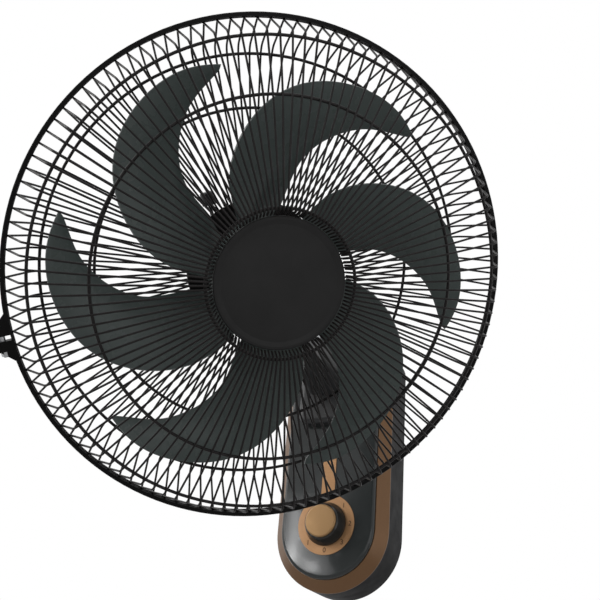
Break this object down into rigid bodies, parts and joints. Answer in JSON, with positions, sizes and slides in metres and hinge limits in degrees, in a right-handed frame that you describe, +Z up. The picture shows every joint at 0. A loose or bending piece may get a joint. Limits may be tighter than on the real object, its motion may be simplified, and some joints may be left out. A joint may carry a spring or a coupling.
{
  "type": "wall mounted fan",
  "caption": "Wall mounted fan with a round wire cage on a tilting, swinging head, a tall wall housing and a speed knob.",
  "frame": {"origin": "centre of the wall screws, in the wall plane", "axes": "+Z up, the wall at Y = 0 with the fan standing out to -Y, +X to the right facing the wall"},
  "size_m": [0.3974, 0.5428, 0.416],
  "materials": {
    "zinc_steel": "bright zinc plated steel",
    "housing_black": "fine matt texture",
    "copper_paint": "metallic copper paint, satin",
    "shell_gloss": "high gloss",
    "dial_copper": "satin copper",
    "knob_black": "high gloss",
    "knob_gold": "satin gold",
    "neck_black": "satin",
    "wire_black": "powder coated",
    "hoop_black": "satin",
    "disc_grey": "matt",
    "smoke_blade": "smoky translucent, glossy",
    "cast_alloy": "as cast",
    "cast_painted": "black paint on castings",
    "core_steel": "varnished laminations",
    "copper_wire": "enamelled copper under varnish",
    "ground_steel": "ground",
    "bush_bronze": "sintered",
    "nylon_white": "satin",
    "fibre_red": "matt fibre",
    "rubber_black": "matt"
  },
  "bodies": {
    "root": {"wall_bracket": "zinc_steel", "back_housing": "housing_black", "trim_band": "copper_paint", "front_shell": "shell_gloss", "shell_screws": "zinc_steel", "neck_screws": "zinc_steel", "cable_grommet": "rubber_black", "dial_plate": "dial_copper", "rotary_switch": "nylon_white", "switch_nut": "zinc_steel", "run_capacitor": "nylon_white", "terminal_block": "nylon_white", "neck_arm": "neck_black", "tilt_bolt": "zinc_steel", "tilt_nut": "neck_black", "friction_washers": "fibre_red"},
    "knob": {"switch_spindle": "nylon_white", "knob_skirt": "knob_black", "knob_cap": "knob_gold"},
    "elbow": {"elbow": "cast_painted", "link_pin": "ground_steel", "swing_pin": "ground_steel", "thrust_washer": "bush_bronze", "swing_nut": "zinc_steel"},
    "head": {"motor_front_shield": "cast_painted", "motor_rear_shield": "cast_painted", "stator": "core_steel", "windings": "copper_wire", "bearings": "bush_bronze", "motor_screws": "zinc_steel", "motor_cover": "neck_black", "gear_case": "nylon_white", "rear_guard_plate": "wire_black", "guard_nut": "neck_black", "front_guard_wires": "wire_black", "rear_guard_wires": "wire_black", "front_guard_rings": "wire_black", "rear_guard_rings": "wire_black", "centre_disc": "disc_grey", "hoop": "hoop_black", "clamp_screw": "zinc_steel", "clamp_nut": "zinc_steel"},
    "rotor": {"shaft": "ground_steel", "rotor_core": "core_steel", "impeller": "smoke_blade", "drive_pin": "ground_steel", "spinner_nut": "neck_black"},
    "worm_wheel": {"worm_wheel": "nylon_white"},
    "pinion": {"pinion_spindle": "nylon_white"},
    "crank": {"crank_gear": "nylon_white", "crank_shaft": "zinc_steel"},
    "link": {"swing_link": "zinc_steel"},
    "clutch": {"clutch_knob": "neck_black"}
  },
  "joints": [
    {"name": "tilt", "type": "hinge", "parent": "root", "child": "elbow", "pos_m": [0, -0.184, 0.085], "axis": [1, 0, 0], "range_deg": [-44.4, 0.6]},
    {"name": "swing", "type": "hinge", "parent": "elbow", "child": "head", "pos_m": [0, -0.28966, 0.12154], "axis": [0, -0.6992, 0.715], "range_deg": [-75.6, 4.4]},
    {"name": "blade_spin", "type": "hinge", "parent": "head", "child": "rotor", "pos_m": [0.04618, -0.34692, 0.06555], "axis": [0.5818, -0.5815, -0.5686], "continuous": true},
    {"name": "worm_wheel_spin", "type": "hinge", "parent": "head", "child": "worm_wheel", "pos_m": [-0.04538, -0.27508, 0.1358], "axis": [0, -0.6992, 0.715], "continuous": true},
    {"name": "pinion_spin", "type": "hinge", "parent": "head", "child": "pinion", "pos_m": [-0.04538, -0.2541, 0.11435], "axis": [0, -0.6992, 0.715], "range_deg": [-437, 26]},
    {"name": "crank_spin", "type": "hinge", "parent": "head", "child": "crank", "pos_m": [-0.03075, -0.23613, 0.11095], "axis": [0, -0.6992, 0.715], "range_deg": [-7.3, 124.8]},
    {"name": "link_turn", "type": "hinge", "parent": "elbow", "child": "link", "pos_m": [-0.018, -0.24702, 0.07792], "axis": [0, -0.6992, 0.715], "range_deg": [-68.1, 4]},
    {"name": "clutch_slide", "type": "slide", "parent": "head", "child": "clutch", "axis": [0, -0.6992, 0.715], "range_m": [-0.008, 0]},
    {"name": "speed_knob", "type": "hinge", "parent": "root", "child": "knob", "pos_m": [0, -0.064, -0.09], "axis": [0, -1, 0], "range_deg": [0, 135]}
  ],
  "couplings": [
    {"joint": "worm_wheel_spin", "follows": "blade_spin", "ratio": 0.045455},
    {"joint": "crank_spin", "follows": "swing", "ratio": -1.65},
    {"joint": "pinion_spin", "follows": "swing", "ratio": 5.775},
    {"joint": "link_turn", "follows": "swing", "ratio": 0.9}
  ]
}
